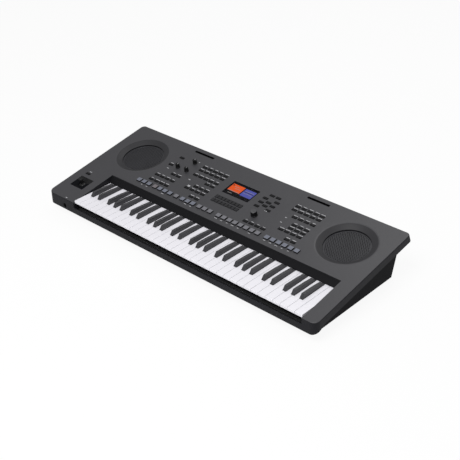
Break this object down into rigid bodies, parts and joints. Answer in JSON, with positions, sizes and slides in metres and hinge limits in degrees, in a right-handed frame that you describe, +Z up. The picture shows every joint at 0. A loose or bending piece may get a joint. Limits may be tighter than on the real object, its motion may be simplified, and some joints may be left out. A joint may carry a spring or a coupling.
{
  "type": "arranger keyboard",
  "caption": "Arranger keyboard: full-size keys in a sloping dark case, with joystick, knobs, button banks, backlit display and a speaker at each end.",
  "frame": {"origin": "middle of the footprint, on the table under the rubber feet", "axes": "+X to the player's right, +Y to the rear, +Z up"},
  "size_m": [1.006, 0.3984, 0.1338],
  "materials": {
    "panel_grey": "satin dark grey",
    "case_black": "fine matte black",
    "foot_rubber": "matte",
    "screw_steel": "blackened",
    "frame_plastic": "matte",
    "felt": "dark felt",
    "board_green": "coated board",
    "contact_rubber": "silicone",
    "clamp_steel": "plated",
    "lens_clear": "clear",
    "display_glass": "lit display",
    "joystick_black": "matte",
    "stick_black": "soft",
    "jack_black": "matte",
    "port_steel": "plated",
    "ribbon_grey": "flat cable",
    "pot_steel": "plated",
    "grille_black": "perforated, matte",
    "basket_steel": "pressed steel",
    "cone_paper": "pressed paper",
    "magnet_ferrite": "ferrite",
    "knob_black": "ribbed",
    "dial_grey": "satin",
    "button_black": "satin",
    "soft_key_grey": "satin",
    "pad_grey": "satin",
    "key_white": "polished",
    "key_black": "satin"
  },
  "bodies": {
    "case": {"top_case": "panel_grey", "bottom_case": "case_black", "rubber_feet": "foot_rubber", "case_screws": "screw_steel", "key_frame": "frame_plastic", "key_stop_felt": "felt", "key_contact_board": "board_green", "contact_rubber_strip": "contact_rubber", "key_hinge_clamp": "clamp_steel", "panel_boards": "board_green", "display_lens": "lens_clear", "display_module": "display_glass", "joystick_base": "joystick_black", "headphone_jack": "jack_black", "rear_jacks": "jack_black", "usb_ports": "port_steel", "dc_inlet": "jack_black", "main_board": "board_green", "ribbon_cables": "ribbon_grey", "dial_encoder": "pot_steel", "potentiometers": "pot_steel", "left_speaker_grille": "grille_black", "right_speaker_grille": "grille_black", "left_speaker_basket": "basket_steel", "right_speaker_basket": "basket_steel", "left_speaker_cone": "cone_paper", "right_speaker_cone": "cone_paper", "left_speaker_magnet": "magnet_ferrite", "right_speaker_magnet": "magnet_ferrite"},
    "joystick_gimbal": {"joystick_gimbal": "joystick_black"},
    "joystick_stick": {"joystick_stick": "stick_black"},
    "volume_knob": {"volume_knob": "knob_black"},
    "left_knob": {"left_knob": "knob_black"},
    "right_knob": {"right_knob": "knob_black"},
    "data_dial": {"data_dial": "dial_grey"},
    "standby_button": {"standby_button": "button_black"},
    "joystick_button": {"joystick_button": "button_black"},
    "left_buttons": {"left_buttons": "button_black"},
    "centre_buttons": {"centre_buttons": "button_black"},
    "cursor_buttons": {"cursor_buttons": "button_black"},
    "right_buttons": {"right_buttons": "button_black"},
    "soft_keys": {"soft_keys": "soft_key_grey"},
    "left_pads": {"left_pads": "pad_grey"},
    "right_pads": {"right_pads": "pad_grey"},
    "octave_1_keys_c_e_g_b": {"octave_1_keys_c_e_g_b": "key_white"},
    "octave_1_keys_d_f_a": {"octave_1_keys_d_f_a": "key_white"},
    "octave_1_black_keys": {"octave_1_black_keys": "key_black"},
    "octave_2_keys_c_e_g_b": {"octave_2_keys_c_e_g_b": "key_white"},
    "octave_2_keys_d_f_a": {"octave_2_keys_d_f_a": "key_white"},
    "octave_2_black_keys": {"octave_2_black_keys": "key_black"},
    "octave_3_keys_c_e_g_b": {"octave_3_keys_c_e_g_b": "key_white"},
    "octave_3_keys_d_f_a": {"octave_3_keys_d_f_a": "key_white"},
    "octave_3_black_keys": {"octave_3_black_keys": "key_black"},
    "octave_4_keys_c_e_g_b": {"octave_4_keys_c_e_g_b": "key_white"},
    "octave_4_keys_d_f_a": {"octave_4_keys_d_f_a": "key_white"},
    "octave_4_black_keys": {"octave_4_black_keys": "key_black"},
    "octave_5_keys_c_e_g_b": {"octave_5_keys_c_e_g_b": "key_white"},
    "octave_5_keys_d_f_a": {"octave_5_keys_d_f_a": "key_white"},
    "octave_5_black_keys": {"octave_5_black_keys": "key_black"},
    "top_c_key": {"top_c_key": "key_white"}
  },
  "joints": [
    {"name": "octave_1_keys_c_e_g_b_hinge", "type": "hinge", "parent": "case", "child": "octave_1_keys_c_e_g_b", "pos_m": [-0.30545, 0.00875, 0.054], "axis": [1, 0, 0], "range_deg": [0, 2.7], "stiffness_Nm_per_rad": 2.7, "springref_deg": -8.59},
    {"name": "octave_1_keys_d_f_a_hinge", "type": "hinge", "parent": "case", "child": "octave_1_keys_d_f_a", "pos_m": [-0.30545, 0.00875, 0.0576], "axis": [1, 0, 0], "range_deg": [0, 2.7], "stiffness_Nm_per_rad": 2, "springref_deg": -8.59},
    {"name": "octave_1_black_keys_hinge", "type": "hinge", "parent": "case", "child": "octave_1_black_keys", "pos_m": [-0.30545, 0.00875, 0.0612], "axis": [1, 0, 0], "range_deg": [0, 3.2], "stiffness_Nm_per_rad": 3.3, "springref_deg": -8.59},
    {"name": "octave_2_keys_c_e_g_b_hinge", "type": "hinge", "parent": "case", "child": "octave_2_keys_c_e_g_b", "pos_m": [-0.14095, 0.00875, 0.054], "axis": [1, 0, 0], "range_deg": [0, 2.7], "stiffness_Nm_per_rad": 2.7, "springref_deg": -8.59},
    {"name": "octave_2_keys_d_f_a_hinge", "type": "hinge", "parent": "case", "child": "octave_2_keys_d_f_a", "pos_m": [-0.14095, 0.00875, 0.0576], "axis": [1, 0, 0], "range_deg": [0, 2.7], "stiffness_Nm_per_rad": 2, "springref_deg": -8.59},
    {"name": "octave_2_black_keys_hinge", "type": "hinge", "parent": "case", "child": "octave_2_black_keys", "pos_m": [-0.14095, 0.00875, 0.0612], "axis": [1, 0, 0], "range_deg": [0, 3.2], "stiffness_Nm_per_rad": 3.3, "springref_deg": -8.59},
    {"name": "octave_3_keys_c_e_g_b_hinge", "type": "hinge", "parent": "case", "child": "octave_3_keys_c_e_g_b", "pos_m": [0.02355, 0.00875, 0.054], "axis": [1, 0, 0], "range_deg": [0, 2.7], "stiffness_Nm_per_rad": 2.7, "springref_deg": -8.59},
    {"name": "octave_3_keys_d_f_a_hinge", "type": "hinge", "parent": "case", "child": "octave_3_keys_d_f_a", "pos_m": [0.02355, 0.00875, 0.0576], "axis": [1, 0, 0], "range_deg": [0, 2.7], "stiffness_Nm_per_rad": 2, "springref_deg": -8.59},
    {"name": "octave_3_black_keys_hinge", "type": "hinge", "parent": "case", "child": "octave_3_black_keys", "pos_m": [0.02355, 0.00875, 0.0612], "axis": [1, 0, 0], "range_deg": [0, 3.2], "stiffness_Nm_per_rad": 3.3, "springref_deg": -8.59},
    {"name": "octave_4_keys_c_e_g_b_hinge", "type": "hinge", "parent": "case", "child": "octave_4_keys_c_e_g_b", "pos_m": [0.18805, 0.00875, 0.054], "axis": [1, 0, 0], "range_deg": [0, 2.7], "stiffness_Nm_per_rad": 2.7, "springref_deg": -8.59},
    {"name": "octave_4_keys_d_f_a_hinge", "type": "hinge", "parent": "case", "child": "octave_4_keys_d_f_a", "pos_m": [0.18805, 0.00875, 0.0576], "axis": [1, 0, 0], "range_deg": [0, 2.7], "stiffness_Nm_per_rad": 2, "springref_deg": -8.59},
    {"name": "octave_4_black_keys_hinge", "type": "hinge", "parent": "case", "child": "octave_4_black_keys", "pos_m": [0.18805, 0.00875, 0.0612], "axis": [1, 0, 0], "range_deg": [0, 3.2], "stiffness_Nm_per_rad": 3.3, "springref_deg": -8.59},
    {"name": "octave_5_keys_c_e_g_b_hinge", "type": "hinge", "parent": "case", "child": "octave_5_keys_c_e_g_b", "pos_m": [0.35255, 0.00875, 0.054], "axis": [1, 0, 0], "range_deg": [0, 2.7], "stiffness_Nm_per_rad": 2.7, "springref_deg": -8.59},
    {"name": "octave_5_keys_d_f_a_hinge", "type": "hinge", "parent": "case", "child": "octave_5_keys_d_f_a", "pos_m": [0.35255, 0.00875, 0.0576], "axis": [1, 0, 0], "range_deg": [0, 2.7], "stiffness_Nm_per_rad": 2, "springref_deg": -8.59},
    {"name": "octave_5_black_keys_hinge", "type": "hinge", "parent": "case", "child": "octave_5_black_keys", "pos_m": [0.35255, 0.00875, 0.0612], "axis": [1, 0, 0], "range_deg": [0, 3.2], "stiffness_Nm_per_rad": 3.3, "springref_deg": -8.59},
    {"name": "top_c_key_hinge", "type": "hinge", "parent": "case", "child": "top_c_key", "pos_m": [0.44655, 0.00875, 0.054], "axis": [1, 0, 0], "range_deg": [0, 2.7], "stiffness_Nm_per_rad": 0.7, "springref_deg": -8.59},
    {"name": "volume_knob_turn", "type": "hinge", "parent": "case", "child": "volume_knob", "pos_m": [-0.21111, 0.12578, 0.11967], "axis": [0, -0.1762, 0.9844], "range_deg": [-145, 145]},
    {"name": "left_knob_turn", "type": "hinge", "parent": "case", "child": "left_knob", "pos_m": [-0.24219, 0.08479, 0.11234], "axis": [0, -0.1762, 0.9844], "range_deg": [-145, 145]},
    {"name": "right_knob_turn", "type": "hinge", "parent": "case", "child": "right_knob", "pos_m": [-0.20613, 0.08479, 0.11234], "axis": [0, -0.1762, 0.9844], "range_deg": [-145, 145]},
    {"name": "data_dial_turn", "type": "hinge", "parent": "case", "child": "data_dial", "pos_m": [0.10352, 0.03374, 0.1032], "axis": [0, -0.1762, 0.9844], "continuous": true},
    {"name": "standby_button_press", "type": "slide", "parent": "case", "child": "standby_button", "axis": [0, 0.1762, -0.9844], "range_m": [0, 0.001], "stiffness_N_per_m": 600, "springref_m": -0.0005},
    {"name": "joystick_button_press", "type": "slide", "parent": "case", "child": "joystick_button", "axis": [0, 0.1762, -0.9844], "range_m": [0, 0.001], "stiffness_N_per_m": 600, "springref_m": -0.0005},
    {"name": "left_buttons_press", "type": "slide", "parent": "case", "child": "left_buttons", "axis": [0, 0.1762, -0.9844], "range_m": [0, 0.001], "stiffness_N_per_m": 1500, "springref_m": -0.0005},
    {"name": "centre_buttons_press", "type": "slide", "parent": "case", "child": "centre_buttons", "axis": [0, 0.1762, -0.9844], "range_m": [0, 0.001], "stiffness_N_per_m": 2500, "springref_m": -0.0005},
    {"name": "cursor_buttons_press", "type": "slide", "parent": "case", "child": "cursor_buttons", "axis": [0, 0.1762, -0.9844], "range_m": [0, 0.001], "stiffness_N_per_m": 2000, "springref_m": -0.0005},
    {"name": "right_buttons_press", "type": "slide", "parent": "case", "child": "right_buttons", "axis": [0, 0.1762, -0.9844], "range_m": [0, 0.001], "stiffness_N_per_m": 2500, "springref_m": -0.0005},
    {"name": "soft_keys_press", "type": "slide", "parent": "case", "child": "soft_keys", "axis": [0, 0.1762, -0.9844], "range_m": [0, 0.001], "stiffness_N_per_m": 1500, "springref_m": -0.0005},
    {"name": "left_pads_press", "type": "slide", "parent": "case", "child": "left_pads", "axis": [0, 0.1762, -0.9844], "range_m": [0, 0.001], "stiffness_N_per_m": 2000, "springref_m": -0.0005},
    {"name": "right_pads_press", "type": "slide", "parent": "case", "child": "right_pads", "axis": [0, 0.1762, -0.9844], "range_m": [0, 0.001], "stiffness_N_per_m": 2000, "springref_m": -0.0005},
    {"name": "joystick_side_tilt", "type": "hinge", "parent": "case", "child": "joystick_gimbal", "pos_m": [-0.4432, -0.11654, 0.05802], "axis": [0, 0.9844, 0.1762], "range_deg": [-15, 15], "stiffness_Nm_per_rad": 0.06},
    {"name": "joystick_forward_tilt", "type": "hinge", "parent": "joystick_gimbal", "child": "joystick_stick", "pos_m": [-0.4432, -0.11654, 0.05802], "axis": [1, 0, 0], "range_deg": [-15, 15], "stiffness_Nm_per_rad": 0.06}
  ]
}
